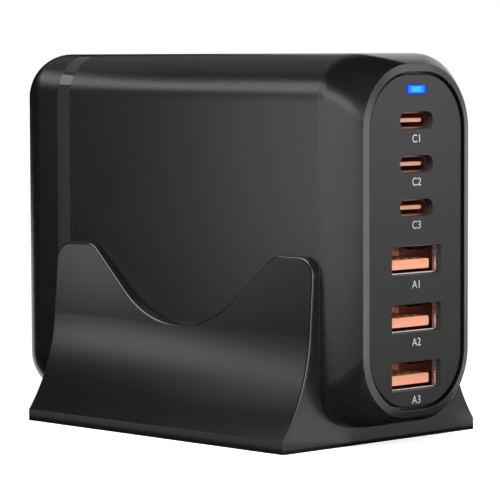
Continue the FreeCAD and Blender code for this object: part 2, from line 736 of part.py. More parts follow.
def make_front_shroud():
    """Smooth loft from the sleeve's outline to the rounder rim, open through the middle for the sockets."""
    body = new_body("front_shroud", "Places.x_seam", z="Places.z_body")
    neck = "(Sizes.shroud_depth - Sizes.rim_bevel_depth)"
    outlines = []
    for k in range(SHROUD_STEPS + 1):
        # the inset grows with the square of the way forward: no crease where the shroud leaves the sleeve
        way = k / SHROUD_STEPS
        bend = way ** 2
        outline = new_sketch(body, f"front_shroud_outline_{k}", "YZ", out=f"{way} * {neck}")
        rounded_rectangle(outline, f"Places.body_width - {2 * bend} * Sizes.shroud_taper_across",
                          f"Places.body_height - {2 * bend} * Sizes.shroud_taper_up",
                          f"{1 - bend} * Sizes.body_corner + {bend} * Places.rim_corner")
        outlines.append(outline)
    loft(body, outlines, ruled=False)
    edge = new_sketch(body, "front_shroud_edge", "YZ", out=neck)
    rounded_rectangle(edge, *RIM)
    rim = new_sketch(body, "front_shroud_rim", "YZ", out="Sizes.shroud_depth")
    rounded_rectangle(rim, *inside(RIM, "Sizes.rim_bevel_width"))
    loft(body, [edge, rim])
    spigot = new_sketch(body, "front_shroud_spigot", "YZ")
    rounded_rectangle(spigot, *SPIGOT)
    pad(body, spigot, "Sizes.spigot_length", back=True)
    seat = new_sketch(body, "front_shroud_seat", "YZ", out="Sizes.shroud_depth")
    rounded_rectangle(seat, *OPENING)
    pocket(body, seat, "Sizes.panel_recess + Sizes.panel_thick")
    passage = new_sketch(body, "front_shroud_passage", "YZ", out="Sizes.shroud_depth")
    rounded_rectangle(passage, *inside(OPENING, "Sizes.panel_ledge"))
    pocket(body, passage)
    return body


def make_front_panel():
    """Plate with round ends and a soft edge, with the light's slot and the six socket openings."""
    body = new_body("front_panel", "Places.x_panel", z="Places.z_body")
    plate = new_sketch(body, "front_panel_plate", "YZ")
    rounded_rectangle(plate, *PANEL)
    pad(body, plate, "Sizes.panel_thick", back=True)
    dress(body, "Fillet", end_outline(body, FORWARD), "Sizes.panel_round")
    light = new_sketch(body, "front_panel_light", "YZ", up="Places.light_rise")
    rounded_rectangle(light, *slot("Sizes.light_width + 2 * Sizes.light_gap",
                                   "(Sizes.light_height + 2 * Sizes.light_gap)"))
    pocket(body, light)
    mouth_c = new_sketch(body, "front_panel_usb_c", "YZ", up="Places.usb_c_rise")
    rounded_rectangle(mouth_c, *slot("Sizes.usb_c_open_width", "Sizes.usb_c_open_height"))
    pattern(body, pocket(body, mouth_c), "Z_Axis", "2 * Sizes.usb_c_pitch", 3, back=True)
    mouth_a = new_sketch(body, "front_panel_usb_a", "YZ", up="Places.usb_a_rise")
    rounded_rectangle(mouth_a, "Sizes.usb_a_open_width", "Sizes.usb_a_open_height",
                      "Sizes.usb_a_open_corner")
    pattern(body, pocket(body, mouth_a), "Z_Axis", "2 * Sizes.usb_a_pitch", 3, back=True)
    return body


# Status light

def make_light():
    """Window in the panel's slot that carries the light from the diode on the port board."""
    height = "Places.z_body + Places.light_rise"
    pipe = new_body("light_pipe", "Places.x_panel", z=height)
    window = new_sketch(pipe, "light_pipe_window", "YZ")
    rounded_rectangle(window, *slot("Sizes.light_width", "Sizes.light_height"))
    pad(pipe, window, "Places.x_panel - Places.x_port_board - Sizes.led_height - Sizes.fit_gap", back=True)
    flange = new_sketch(pipe, "light_pipe_flange", "YZ", out="-Sizes.panel_thick")
    rounded_rectangle(flange, *slot("Sizes.light_width + 2 * Sizes.light_flange",
                                    "(Sizes.light_height + 2 * Sizes.light_flange)"))
    pad(pipe, flange, "Sizes.light_flange_thick", back=True)
    diode = slab("status_led", "Places.x_port_board", "0", height, "YZ",
                 "Sizes.led_size", "Sizes.led_size / 2", "Sizes.led_height")
    return [pipe, diode]


# Sockets, counted from the top

def make_shell(label, z, bore):
    """Sheet-metal tube from the panel's back to the port board."""
    body = new_body(label, "Places.x_mouth", z=z)
    ring = new_sketch(body, label + "_ring", "YZ")
    rounded_rectangle(ring, *inside(bore, "(-Sizes.socket_sheet)"))
    rounded_rectangle(ring, *bore, tag="inner")
    pad(body, ring, "Places.socket_length", back=True)
    return body


def make_insulator(label, z, bore, tongue_width, tongue_thick, tongue_drop):
    """Back block in the shell with the tongue that the plug goes over."""
    body = new_body(label, "Places.x_mouth", z=z)
    back = new_sketch(body, label + "_back", "YZ", out="-Places.socket_length")
    rounded_rectangle(back, *inside(bore, "Sizes.socket_gap"))
    pad(body, back, "Sizes.socket_back")
    tongue = new_sketch(body, label + "_tongue", "YZ", up=f"-({tongue_drop})", out="-Places.socket_length")
    rounded_rectangle(tongue, tongue_width, tongue_thick, "Sizes.tongue_round")
    pad(body, tongue, "Places.socket_length - Sizes.tongue_recess")
    return body


def make_contacts(label, z):
    """Four strips along the top of a USB-A tongue."""
    body = new_body(label, "Places.x_mouth", z=z)
    strips = new_sketch(body, label + "_strips", "YZ",
                        up="Sizes.usb_a_tongue_thick / 2 - Sizes.usb_a_tongue_drop",
                        out="Sizes.socket_back - Places.socket_length")
    rectangle(strips, "Sizes.contact_width", "Sizes.contact_thick", "Sizes.contact_inner", "near")
    rectangle(strips, "Sizes.contact_width", "Sizes.contact_thick", "Sizes.contact_outer", "far")
    pad(body, strips, "Sizes.contact_length")
    mirror(body, "XZ_Plane")
    return body


def make_sockets():
    made = []
    for k in range(3):
        z = f"Places.z_body + Places.usb_c_rise - {k} * Sizes.usb_c_pitch"
        bore = slot("Sizes.usb_c_inner_width", "Sizes.usb_c_inner_height")
        made.append(make_shell(f"usb_c_shell_{k + 1}", z, bore))
        made.append(make_insulator(f"usb_c_insulator_{k + 1}", z, bore,
                                   "Sizes.usb_c_tongue_width", "Sizes.usb_c_tongue_thick", "0"))
    for k in range(3):
        z = f"Places.z_body + Places.usb_a_rise - {k} * Sizes.usb_a_pitch"
        bore = ("Sizes.usb_a_inner_width", "Sizes.usb_a_inner_height", "Sizes.usb_a_inner_corner")
        made.append(make_shell(f"usb_a_shell_{k + 1}", z, bore))
        made.append(make_insulator(f"usb_a_insulator_{k + 1}", z, bore, "Sizes.usb_a_tongue_width",
                                   "Sizes.usb_a_tongue_thick", "Sizes.usb_a_tongue_drop"))
        made.append(make_contacts(f"usb_a_contacts_{k + 1}", z))
    return made


# Boards

def make_boards():
    """Port board against the shroud's spigot, and the main board in the sleeve's rails behind it."""
    ports = block("port_board", "Places.x_port_board", "0", "Places.z_body", "YZ",
                  "Places.inner_width - 2 * Sizes.board_gap", "Places.inner_height - 2 * Sizes.board_gap",
                  "Sizes.port_board_thick", "Places.inner_corner", back=True)
    main = new_body("main_board", "Places.x_board_front", "Places.y_board_face", "Places.z_body")
    plate = new_sketch(main, "main_board_plate", "XZ", right="-Places.board_length / 2")
    rounded_rectangle(plate, "Places.board_length", "2 * Places.board_half", "Sizes.board_corner")
    pad(main, plate, "Sizes.board_thick", back=True)
    # the tab runs back through the cap's spigot to the inlet's terminals
    tab_end = "(Places.x_inlet_back - Sizes.tab_reach - Places.x_board_front)"
    tab_start = "(Sizes.tab_reach - Places.board_length)"
    tab = new_sketch(main, "main_board_tab", "XZ", right=f"({tab_end} + {tab_start}) / 2")
    rounded_rectangle(tab, f"{tab_start} - {tab_end}", "Sizes.tab_height", "Sizes.board_corner")
    pad(main, tab, "Sizes.board_thick", back=True)
    return [ports, main]


# Parts on the main board's face, which looks to -Y

def on_board(label, x, rise, width, height, depth):
    return block(label, x, "Places.y_board_face", f"Places.z_body + {rise}", "XZ", width, height, depth)


def make_transformer():
    """Ferrite core with two windows, and the winding round its middle leg that stands on the board."""
    x, z = "Places.x_board_middle", "Places.z_body + Sizes.transformer_rise"
    window_height = "(Sizes.core_height - 2 * Sizes.core_yoke)"
    core_y = "Places.y_board_face - Sizes.winding_stand - Sizes.fit_gap"
    core = block("transformer_core", x, core_y, z, "XZ",
                 "Sizes.core_length", "Sizes.core_height", "Sizes.core_depth")
    window_width = "(Sizes.winding_wall + 2 * Sizes.fit_gap)"
    for name, sign in (("front", 1), ("rear", -1)):
        window = new_sketch(core, f"transformer_window_{name}", "XZ",
                            right=f"{sign} * (Sizes.core_leg + {window_width}) / 2")
        rounded_rectangle(window, window_width, window_height, "Sizes.fit_gap")
        pocket(core, window, back=True)
    depth = "(Sizes.core_depth + 2 * Sizes.fit_gap)"
    winding = new_body("transformer_winding", x, f"{core_y} - Sizes.core_depth / 2", z)
    ring = new_sketch(winding, "transformer_winding_ring", "XY", out=f"Sizes.fit_gap - {window_height} / 2")
    rounded_rectangle(ring, "Sizes.core_leg + 2 * Sizes.fit_gap + 2 * Sizes.winding_wall",
                      f"{depth} + 2 * Sizes.winding_stand", "Sizes.winding_stand")
    rounded_rectangle(ring, "Sizes.core_leg + 2 * Sizes.fit_gap", depth, "Sizes.fit_gap", tag="inner")
    pad(winding, ring, f"{window_height} - 2 * Sizes.fit_gap")
    return [core, winding]


def make_choke():
    """Wound ring lying on the board."""
    body = new_body("choke", "Places.x_board_rear + Sizes.rear_column", "Places.y_board_face",
                    "Places.z_body - Sizes.choke_drop")
    ring = new_sketch(body, "choke_ring", "XZ")
    circle(ring, "Sizes.choke_radius")
    circle(ring, "Sizes.choke_hole", tag="inner")
    pad(body, ring, "Sizes.choke_depth")
    dress(body, "Chamfer", end_outline(body, Vector(0, -1, 0)), "Sizes.choke_edge")
    return body


def make_board_parts():
    rear = "Places.x_board_rear + Sizes.rear_column"
    front = "Places.x_board_front - Sizes.front_column"
    made = make_transformer()
    for k in range(2):
        made.append(can(f"bulk_capacitor_{k + 1}", "Places.x_board_middle - Sizes.bulk_length / 2",
                        "Places.y_board_face - Sizes.bulk_radius - Sizes.fit_gap",
                        f"Places.z_body - Sizes.bulk_drop - {k} * Sizes.bulk_pitch",
                        "YZ", "Sizes.bulk_radius", "Sizes.bulk_length"))
    made.append(on_board("x_capacitor", rear, "-Sizes.x_cap_drop",
                         "Sizes.x_cap_length", "Sizes.x_cap_height", "Sizes.x_cap_depth"))
    made.append(make_choke())
    made.append(on_board("bridge_rectifier", rear, "Sizes.bridge_rise",
                         "Sizes.bridge_length", "Sizes.bridge_height", "Sizes.bridge_depth"))
    made.append(can("fuse", rear, "Places.y_board_face", "Places.z_body + Sizes.fuse_rise",
                    "XZ", "Sizes.fuse_radius", "Sizes.fuse_depth"))
    rises = ("+ Sizes.output_can_outer", "+ Sizes.output_can_inner",
             "- Sizes.output_can_inner", "- Sizes.output_can_outer")
    for k, rise in enumerate(rises, start=1):
        made.append(can(f"output_capacitor_{k}", front, "Places.y_board_face", f"Places.z_body {rise}",
                        "XZ", "Sizes.output_can_radius", "Sizes.output_can_depth"))
    for k in range(3):
        made.append(on_board(f"output_inductor_{k + 1}", front, f"{1 - k} * Sizes.inductor_pitch",
                             "Sizes.inductor_size", "Sizes.inductor_size", "Sizes.inductor_depth"))
    return made


def make_heat_path():
    """Power switches on the board's back, and the pad and sheet that take their heat to the sleeve."""
    z = "Places.z_body + Sizes.heat_rise"
    made = []
    for k in range(2):
        x = f"Places.x_board_middle + {k - 0.5} * Sizes.switch_pitch"
        made.append(slab(f"power_switch_{k + 1}", x, "Places.y_board_back", z, "XZ",
                         "Sizes.switch_size", "Sizes.switch_size", "Sizes.switch_thick", back=True))
    made.append(slab("thermal_pad", "Places.x_board_middle", "Places.y_pad", z, "XZ",
                     "Sizes.pad_length", "Sizes.pad_height", "Sizes.pad_thick", back=True))
    made.append(slab("heat_spreader", "Places.x_board_middle", "Places.y_spreader", "Places.z_body", "XZ",
                     "Sizes.spreader_length", "Sizes.spreader_height", "Sizes.spreader_thick", back=True))
    return made


# Mains inlet

def inlet_recess(sketch):
    """Figure-eight outline: two round lobes about the pins, joined by a straight waist."""
    lobe = value("Sizes.inlet_lobe")
    half_pitch, half_waist = value("Sizes.pin_pitch") / 2, value("Sizes.inlet_waist") / 2
    reach = math.sqrt(lobe ** 2 - half_waist ** 2)
    dip = math.degrees(math.asin(reach / lobe))
    upper = add_arc(sketch, (0, half_pitch), lobe, -dip, 180 + dip)
    left = add_line(sketch, (-half_waist, half_pitch - reach), (-half_waist, reach - half_pitch))
    lower = add_arc(sketch, (0, -half_pitch), lobe, 180 - dip, 360 + dip)
    right = add_line(sketch, (half_waist, reach - half_pitch), (half_waist, half_pitch - reach))
    ring = [upper, left, lower, right]
    for k in range(4):
        tie(sketch, "Coincident", ring[k], 2, ring[(k + 1) % 4], 1)
    tie(sketch, "Vertical", left)
    tie(sketch, "Vertical", right)
    tie(sketch, "Equal", upper, lower)
    tie(sketch, "PointOnObject", upper, 3, -2)
    tie(sketch, "Symmetric", upper, 3, lower, 3, -1, 1)
    size(sketch, "inlet_lobe", "Sizes.inlet_lobe", "Radius", upper)
    size(sketch, "pin_pitch", "Sizes.pin_pitch", "DistanceY", lower, 3, upper, 3)
    size(sketch, "waist_left", "Sizes.inlet_waist / 2", "DistanceX", left, 1, -1, 1)
    size(sketch, "waist_right", "Sizes.inlet_waist / 2", "DistanceX", -1, 1, right, 1)


def make_inlet():
    """Socket body with its flange behind the cap's wall, two pins and their terminals to the board."""
    inlet = new_body("ac_inlet", "Places.x_rear", z="Places.z_body")
    outline = new_sketch(inlet, "ac_inlet_outline", "YZ")
    rounded_rectangle(outline, "Sizes.inlet_width", "Sizes.inlet_height", "Sizes.inlet_corner")
    pad(inlet, outline, "Sizes.inlet_depth")
    flange = new_sketch(inlet, "ac_inlet_flange", "YZ", out="Sizes.cap_wall")
    rounded_rectangle(flange, "Sizes.inlet_width + 2 * Sizes.inlet_flange",
                      "Sizes.inlet_height + 2 * Sizes.inlet_flange", "Sizes.inlet_corner")
    pad(inlet, flange, "Sizes.inlet_flange_thick")
    recess = new_sketch(inlet, "ac_inlet_recess", "YZ")
    inlet_recess(recess)
    pocket(inlet, recess, "Sizes.inlet_recess", back=True)
    made = [inlet]
    for k, sign in enumerate((1, -1), start=1):
        pin_rise = f"{sign} * Sizes.pin_pitch / 2"
        bore = new_sketch(inlet, f"ac_inlet_bore_{k}", "YZ", up=pin_rise)
        circle(bore, "Sizes.pin_radius + Sizes.socket_gap")
        pocket(inlet, bore, back=True)
        z = f"Places.z_body + {pin_rise}"
        pin_length = "Sizes.inlet_depth - Sizes.pin_recess"
        pin = new_body(f"inlet_pin_{k}", "Places.x_inlet_back", z=z)
        section = new_sketch(pin, f"inlet_pin_{k}_section", "YZ")
        circle(section, "Sizes.pin_radius")
        pad(pin, section, pin_length, back=True)
        dress(pin, "Chamfer", end_outline(pin, BACKWARD), "Sizes.pin_edge")
        # the strip runs from behind the pin across to the board
        reach = "Places.y_board_face + Sizes.terminal_width"
        middle = "(Places.y_board_face - Sizes.terminal_width) / 2"
        terminal = slab(f"inlet_terminal_{k}", "Places.x_inlet_back", middle, z, "YZ",
                        reach, "Sizes.terminal_width", "Sizes.terminal_thick")
        made += [pin, terminal]
    return made


subparts = [make_stand(), make_sleeve(), make_trim_band(), make_rear_cap()]
subparts += [make_front_shroud(), make_front_panel()]
subparts += make_light() + make_sockets()
subparts += make_boards() + make_board_parts() + make_heat_path() + make_inlet()
doc.recompute()

# Nothing is written unless every object of the document came out sound
for item in doc.Objects:
    if "Invalid" in item.State or "Error" in item.State:
        raise RuntimeError(f"{item.Label} failed: {item.State}")
for body in subparts:
    if body.Shape.isNull() or not body.Shape.isValid():
        raise RuntimeError(f"{body.Label} has no valid shape")

os.makedirs("parts", exist_ok=True)
for body in subparts:
    body.Shape.exportStep(f"parts/{body.Label}.step")
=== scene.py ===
# %% [markdown]
# # A desk charger in its flared stand
# The solids come from CAD: a rounded housing with a column of sockets in its narrow front, standing in a
# moulded cradle. This lesson gives them their surfaces, the small pieces that CAD leaves out, a studio
# and a camera. Everything is in metres, in the same frame as the solids: +X towards the sockets, +Z up.

# %% Loading the solids
import math

import bmesh
import bpy
from mathutils import Matrix, Vector


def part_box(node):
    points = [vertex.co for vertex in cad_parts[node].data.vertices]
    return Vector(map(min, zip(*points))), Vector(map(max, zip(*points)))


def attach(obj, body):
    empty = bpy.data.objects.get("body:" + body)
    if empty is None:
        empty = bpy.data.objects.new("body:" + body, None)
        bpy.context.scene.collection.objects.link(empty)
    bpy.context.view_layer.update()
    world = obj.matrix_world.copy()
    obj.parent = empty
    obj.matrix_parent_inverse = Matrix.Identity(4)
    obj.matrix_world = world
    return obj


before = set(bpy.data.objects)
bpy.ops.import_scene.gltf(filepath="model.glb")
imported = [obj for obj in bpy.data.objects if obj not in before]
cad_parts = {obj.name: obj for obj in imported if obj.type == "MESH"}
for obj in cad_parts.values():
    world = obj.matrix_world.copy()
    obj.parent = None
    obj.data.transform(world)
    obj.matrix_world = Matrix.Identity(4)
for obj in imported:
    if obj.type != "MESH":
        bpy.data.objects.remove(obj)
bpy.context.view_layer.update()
MM = 0.001
bpy.ops.object.select_all(action="DESELECT")

# %% [markdown]
# ## The camera
# A product photograph is taken from far away with a long lens, so that upright edges stay upright. The
# camera could be placed by eye; here its angles and distance are numbers, which are easy to correct when
# a render is laid beside the photograph. It looks at the vertical through the middle of the frame, and
# the two small shifts slide it sideways and up without turning it.

# %% Camera
AZIMUTH, ELEVATION, ROLL = (math.radians(angle) for angle in (45.88, 3.88, -0.18))
DISTANCE = 570.3 * MM
SIDE_SHIFT, UP_SHIFT = 0.37 * MM, 34.92 * MM
SENSOR, LENS = 36.0, 205.05

back = Vector((math.sin(AZIMUTH) * math.cos(ELEVATION), -math.cos(AZIMUTH) * math.cos(ELEVATION),
               math.sin(ELEVATION)))
level = Vector((math.cos(AZIMUTH), math.sin(AZIMUTH), 0))
right = Matrix.Rotation(ROLL, 3, back) @ level
up = back.cross(right)
bpy.ops.object.camera_add()
camera = bpy.context.object
camera.name = "camera"
camera.data.sensor_width = SENSOR
camera.data.lens = LENS
camera.matrix_world = Matrix.Translation(right * SIDE_SHIFT + up * UP_SHIFT + back * DISTANCE) @ Matrix(
    (right, up, back)).transposed().to_4x4()
bpy.context.scene.camera = camera
bpy.context.scene.view_settings.view_transform = "Standard"
print("camera at", camera.matrix_world.translation)


# %% [markdown]
# ## Helpers for materials
# A material is a small graph. One function adds a node with its settings and links its inputs, so that
# each finish below reads as a list of what goes into it. Colours are written as the hex values that a
# picture shows and turned to linear light for the shader. Patterns read Object coordinates: the pieces
# sit at the origin with their place in the mesh, so a pattern's scale is a real size.

# %% Material helpers
def linear(hex_colour):
    """Linear RGBA of an sRGB hex colour; the numbers are those of the sRGB curve."""
    parts = [int(hex_colour[k:k + 2], 16) / 255 for k in (1, 3, 5)]
    return [p / 12.92 if p <= 0.04045 else ((p + 0.055) / 1.055) ** 2.4 for p in parts] + [1.0]


def add(tree, kind, inputs=None, **settings):
    """Node with its settings; an input is a value or another node's output."""
    node = tree.nodes.new(kind)
    for name, setting in settings.items():
        setattr(node, name, setting)
    for name, given in (inputs or {}).items():
        if isinstance(given, bpy.types.NodeSocket):
            tree.links.new(given, node.inputs[name])
        else:
            node.inputs[name].default_value = given
    return node


def new_material(name):
    """Empty material with its node tree and output."""
    material = bpy.data.materials.new(name)
    material.use_nodes = True
    tree = material.node_tree
    tree.nodes.clear()
    return material, tree, add(tree, "ShaderNodeOutputMaterial")


def dress(material, *names):
    """Gives a material to pieces by name."""
    for name in names:
        piece = bpy.data.objects[name]
        piece.data.materials.clear()
        piece.data.materials.append(material)
    print(material.name, "on", ", ".join(names))


def numbered(*stems):
    """Names of pieces that come three times."""
    return [f"{stem}_{k}" for stem in stems for k in (1, 2, 3)]


# %% [markdown]
# ## Moulded plastic
# The housing and the stand are moulded ABS. The steel mould is eroded with a spark, which leaves a fine
# grain, and the plastic copies it: the eye sees a satin black whose highlights have soft ends. The grain
# could be an image; noise at a real size needs none and has no seams. A second, slow noise drifts the
# shade and the gloss a little, as the melt does in flowing round a large moulding. Noise keeps mostly to
# the middle of its range, so its usual low and high are what is spread over the gloss.

# %% Moulded plastic
DRIFT = 22 * MM
NOISE_LOW, NOISE_HIGH = 0.3, 0.7


def moulded(name, dark, light, grain, roughness, spread, depth, ior=1.5):
    """Moulded plastic with a grain of so many millimetres and so deep, and slow drifts of shade and gloss."""
    material, tree, output = new_material(name)
    place = add(tree, "ShaderNodeTexCoord").outputs["Object"]
    fine = add(tree, "ShaderNodeTexNoise", {"Vector": place, "Scale": 1 / (grain * MM), "Detail": 3.0})
    slow = add(tree, "ShaderNodeTexNoise", {"Vector": place, "Scale": 1 / DRIFT, "Detail": 1.0})
    shade = add(tree, "ShaderNodeMix", {"Factor": slow.outputs["Fac"], "A": linear(dark), "B": linear(light)},
                data_type="RGBA")
    blend = add(tree, "ShaderNodeMath", {0: fine.outputs["Fac"], 1: slow.outputs["Fac"]}, operation="ADD")
    gloss = add(tree, "ShaderNodeMapRange", {"Value": blend.outputs[0],
                                             "From Min": 2 * NOISE_LOW, "From Max": 2 * NOISE_HIGH,
                                             "To Min": roughness - spread, "To Max": roughness + spread})
    bump = add(tree, "ShaderNodeBump", {"Strength": 1.0, "Distance": depth * MM,
                                        "Height": fine.outputs["Fac"]})
    shader = add(tree, "ShaderNodeBsdfPrincipled", {"Base Color": shade.outputs["Result"], "IOR": ior,
                                                    "Roughness": gloss.outputs["Result"],
                                                    "Normal": bump.outputs["Normal"]})
    tree.links.new(shader.outputs["BSDF"], output.inputs["Surface"])
    return material


# %% [markdown]
# The sleeve and the front shroud share one finish. The real grain is some 0.05 mm, too fine to show here,
# so it is drawn 0.4 mm wide and very shallow. The rear cap is given a touch darker colour.
# The stand is smoother, and the panel is matt, so that its sockets read clearly. The band before the cap
# is polished polycarbonate: it has no grain to speak of and mirrors the lamps sharply.

# %% Housing, stand, panel and band
housing_abs = moulded("satin_abs_housing", "#131314", "#161617",
                      grain=0.4, roughness=0.27, spread=0.01, depth=0.00005)
dress(housing_abs, "sleeve", "front_shroud")
cap_abs = moulded("satin_abs_cap", "#0e0e0f", "#111112",
                  grain=0.4, roughness=0.27, spread=0.01, depth=0.0001)
dress(cap_abs, "rear_cap")
stand_abs = moulded("satin_abs_stand", "#131314", "#161617",
                    grain=0.4, roughness=0.24, spread=0.01, depth=0.0001, ior=1.44)
dress(stand_abs, "stand")
panel_abs = moulded("satin_abs_panel", "#222223", "#262627",
                    grain=0.35, roughness=0.42, spread=0.03, depth=0.001)
dress(panel_abs, "front_panel")
polished = moulded("polished_polycarbonate_trim", "#2a2a2b", "#2c2c2d",
                   grain=0.6, roughness=0.05, spread=0.02, depth=0.0002)
dress(polished, "trim_band")

# %% [markdown]
# ## Socket plastics
# The tongues of the sockets are moulded in orange nylon, which is a little waxy: bright, with a broad
# soft sheen. The small sockets' tongues are given a paler colour: a painted sheen, and painted light where
# little light reaches into them. The mains inlet at the back is black nylon with the
# deeper grain of a small bought-in part.

# %% Socket plastics
orange = moulded("orange_nylon_tongue", "#e29979", "#e89f7f",
                 grain=0.3, roughness=0.4, spread=0.05, depth=0.004)
dress(orange, *numbered("usb_a_insulator"))
# Paler than the large tongues: painted sheen and painted light.
orange_painted_sheen = moulded("orange_nylon_tongue_painted_sheen", "#fbb494", "#ffbd9e",
                      grain=0.3, roughness=0.35, spread=0.05, depth=0.003)
dress(orange_painted_sheen, *numbered("usb_c_insulator"))
black_nylon = moulded("black_nylon_inlet", "#161617", "#1b1b1c",
                      grain=0.3, roughness=0.45, spread=0.05, depth=0.005)
dress(black_nylon, "ac_inlet")

# %% [markdown]
# ## Metals
# Shells, contacts and pins are drawn or rolled and then plated. Drawing leaves faint lines along the
# piece: noise that is stretched along X gives them. They change how rough the metal is and tilt it very
# slightly, so that a reflection breaks into streaks. Real lines are a few hundredths of a millimetre
# wide, too fine to show here, so they are drawn 0.2 mm wide or more. A metal's colour is its reflection's
# colour, and it keeps the default IOR.

# %% Metals
LINE_STRETCH, LINE_DEPTH, LINE_STRENGTH = 50, 0.002 * MM, 0.3


def metal(name, colour, roughness, spread, line):
    """Drawn or plated metal with lines of so many millimetres along X."""
    material, tree, output = new_material(name)
    place = add(tree, "ShaderNodeTexCoord").outputs["Object"]
    stretch = add(tree, "ShaderNodeMapping", {"Vector": place, "Scale": (1 / LINE_STRETCH, 1, 1)})
    lines = add(tree, "ShaderNodeTexNoise", {"Vector": stretch.outputs["Vector"], "Scale": 1 / (line * MM)})
    gloss = add(tree, "ShaderNodeMapRange", {"Value": lines.outputs["Fac"],
                                             "From Min": NOISE_LOW, "From Max": NOISE_HIGH,
                                             "To Min": roughness - spread, "To Max": roughness + spread})
    bump = add(tree, "ShaderNodeBump", {"Strength": LINE_STRENGTH, "Distance": LINE_DEPTH,
                                        "Height": lines.outputs["Fac"]})
    shader = add(tree, "ShaderNodeBsdfPrincipled", {"Base Color": linear(colour), "Metallic": 1.0,
                                                    "Roughness": gloss.outputs["Result"],
                                                    "Normal": bump.outputs["Normal"]})
    tree.links.new(shader.outputs["BSDF"], output.inputs["Surface"])
    return material


# %% [markdown]
# Nickel on the lips is bright and slightly cold. The shells behind them are given a darker, warm tone:
# painted shade and a painted reflection of the orange tongues, as the glow inside a socket would lend them.
# Gold keeps the contacts yellow, and the inlet's pins are smooth nickel.

# %% Shells, contacts and pins
lip_steel = metal("nickel_plated_steel_lip", "#e0e0e2", roughness=0.25, spread=0.06, line=0.2)
# The shells' warm, dark colour is painted shade and a painted reflection of the orange tongues.
painted_glow_steel = metal("drawn_steel_shell_painted_glow", "#9a7c7a", roughness=0.35, spread=0.06, line=0.2)
dress(painted_glow_steel, *numbered("usb_a_shell"))
painted_glow_nickel = metal("nickel_shell_painted_glow", "#a8776a", roughness=0.4, spread=0.06, line=0.2)
dress(painted_glow_nickel, *numbered("usb_c_shell"))
gold = metal("gold_plated_contact", "#e3b565", roughness=0.25, spread=0.05, line=0.2)
dress(gold, *numbered("usb_a_contacts"))
pin_nickel = metal("nickel_plated_pin", "#c4bfb4", roughness=0.2, spread=0.05, line=0.2)
dress(pin_nickel, "inlet_pin_1", "inlet_pin_2", "inlet_terminal_1", "inlet_terminal_2")


# %% [markdown]
# ## Socket lips
# The steel of a large socket is folded into a thin lip round its mouth, which the light catches under the
# tongue. It could be cut from a box with a Boolean; here a flat plate is rounded at its corners, inset,
# opened and extruded, which keeps the mesh clean. Faces are chosen in code, since there is no mouse.

# %% Modelling helpers
EDGE_SEGMENTS, SMOOTH_ANGLE = 2, math.radians(40)


def choose(piece, kind, test):
    """Selects in edit mode the faces or edges whose middle passes a test."""
    bpy.ops.mesh.select_all(action="DESELECT")
    bpy.ops.mesh.select_mode(type={"faces": "FACE", "edges": "EDGE"}[kind])
    mesh = bmesh.from_edit_mesh(piece.data)
    for part in getattr(mesh, kind):
        if test(sum((vert.co for vert in part.verts), Vector()) / len(part.verts)):
            part.select_set(True)
    bmesh.update_edit_mesh(piece.data)


def plate(name, place, size, rotation=(0, 0, 0)):
    """Flat plate at its place and size, open in edit mode with all of it selected."""
    bpy.ops.object.select_all(action="DESELECT")
    bpy.ops.mesh.primitive_plane_add(size=1, location=place, rotation=rotation)
    piece = bpy.context.object
    piece.name = name
    piece.scale = (size[0], size[1], 1)
    bpy.ops.object.transform_apply(location=True, rotation=True, scale=True)
    bpy.ops.object.mode_set(mode="EDIT")
    bpy.ops.mesh.select_all(action="SELECT")
    return piece


def round_edges(piece, width):
    """Closes edit mode and rounds every sharp edge of a piece."""
    bpy.ops.mesh.select_all(action="SELECT")
    bpy.ops.mesh.normals_make_consistent(inside=False)
    bpy.ops.object.mode_set(mode="OBJECT")
    bevel = piece.modifiers.new("rounded_edges", "BEVEL")
    bevel.width, bevel.segments, bevel.limit_method = width, EDGE_SEGMENTS, "ANGLE"
    bpy.ops.object.modifier_apply(modifier=bevel.name)
    bpy.ops.object.shade_smooth_by_angle(angle=SMOOTH_ANGLE)


def repeat(first, stem, material):
    """Puts a piece that was made for the first large socket into all three."""
    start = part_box("usb_a_shell_1")[0].z
    for k in (1, 2, 3):
        piece = first if k == 1 else first.copy()
        if k > 1:
            piece.data = first.data.copy()
            bpy.context.collection.objects.link(piece)
            piece.data.transform(Matrix.Translation((0, 0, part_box(f"usb_a_shell_{k}")[0].z - start)))
        piece.name = f"{stem}_{k}"
        piece.data.materials.clear()
        piece.data.materials.append(material)
        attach(piece, "root")
        print(piece.name, len(piece.data.polygons), "faces")


# %% Socket lips
LIP_WIDTH, LIP_HEIGHT, LIP_CORNER, LIP_CORNER_STEPS = 13.3 * MM, 5.33 * MM, 0.5 * MM, 3
LIP_WALL, LIP_DEPTH, LIP_EDGE, LIP_RAISE = 0.28 * MM, 0.77 * MM, 0.03 * MM, 0.18 * MM
shell_low, shell_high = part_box("usb_a_shell_1")
socket_middle = (shell_low + shell_high) / 2
lip = plate("usb_a_lip_1", (shell_high.x, 0, socket_middle.z), (LIP_HEIGHT, LIP_WIDTH), (0, math.pi / 2, 0))
bpy.ops.mesh.bevel(offset=LIP_CORNER, segments=LIP_CORNER_STEPS, affect="VERTICES")
bpy.ops.mesh.select_all(action="SELECT")
bpy.ops.mesh.inset(thickness=LIP_WALL)
choose(lip, "faces", lambda at: abs(at.y) < LIP_WALL and abs(at.z - socket_middle.z) < LIP_WALL)
bpy.ops.mesh.delete(type="FACE")
inner_top = socket_middle.z + LIP_HEIGHT / 2 - LIP_WALL
choose(lip, "edges", lambda at: abs(at.z - inner_top) < LIP_EDGE)
bpy.ops.transform.translate(value=(0, 0, LIP_RAISE))
bpy.ops.mesh.select_all(action="SELECT")
bpy.ops.mesh.extrude_region_move(TRANSFORM_OT_translate={"value": (LIP_DEPTH, 0, 0)})
round_edges(lip, LIP_EDGE)
repeat(lip, "usb_a_lip", lip_steel)

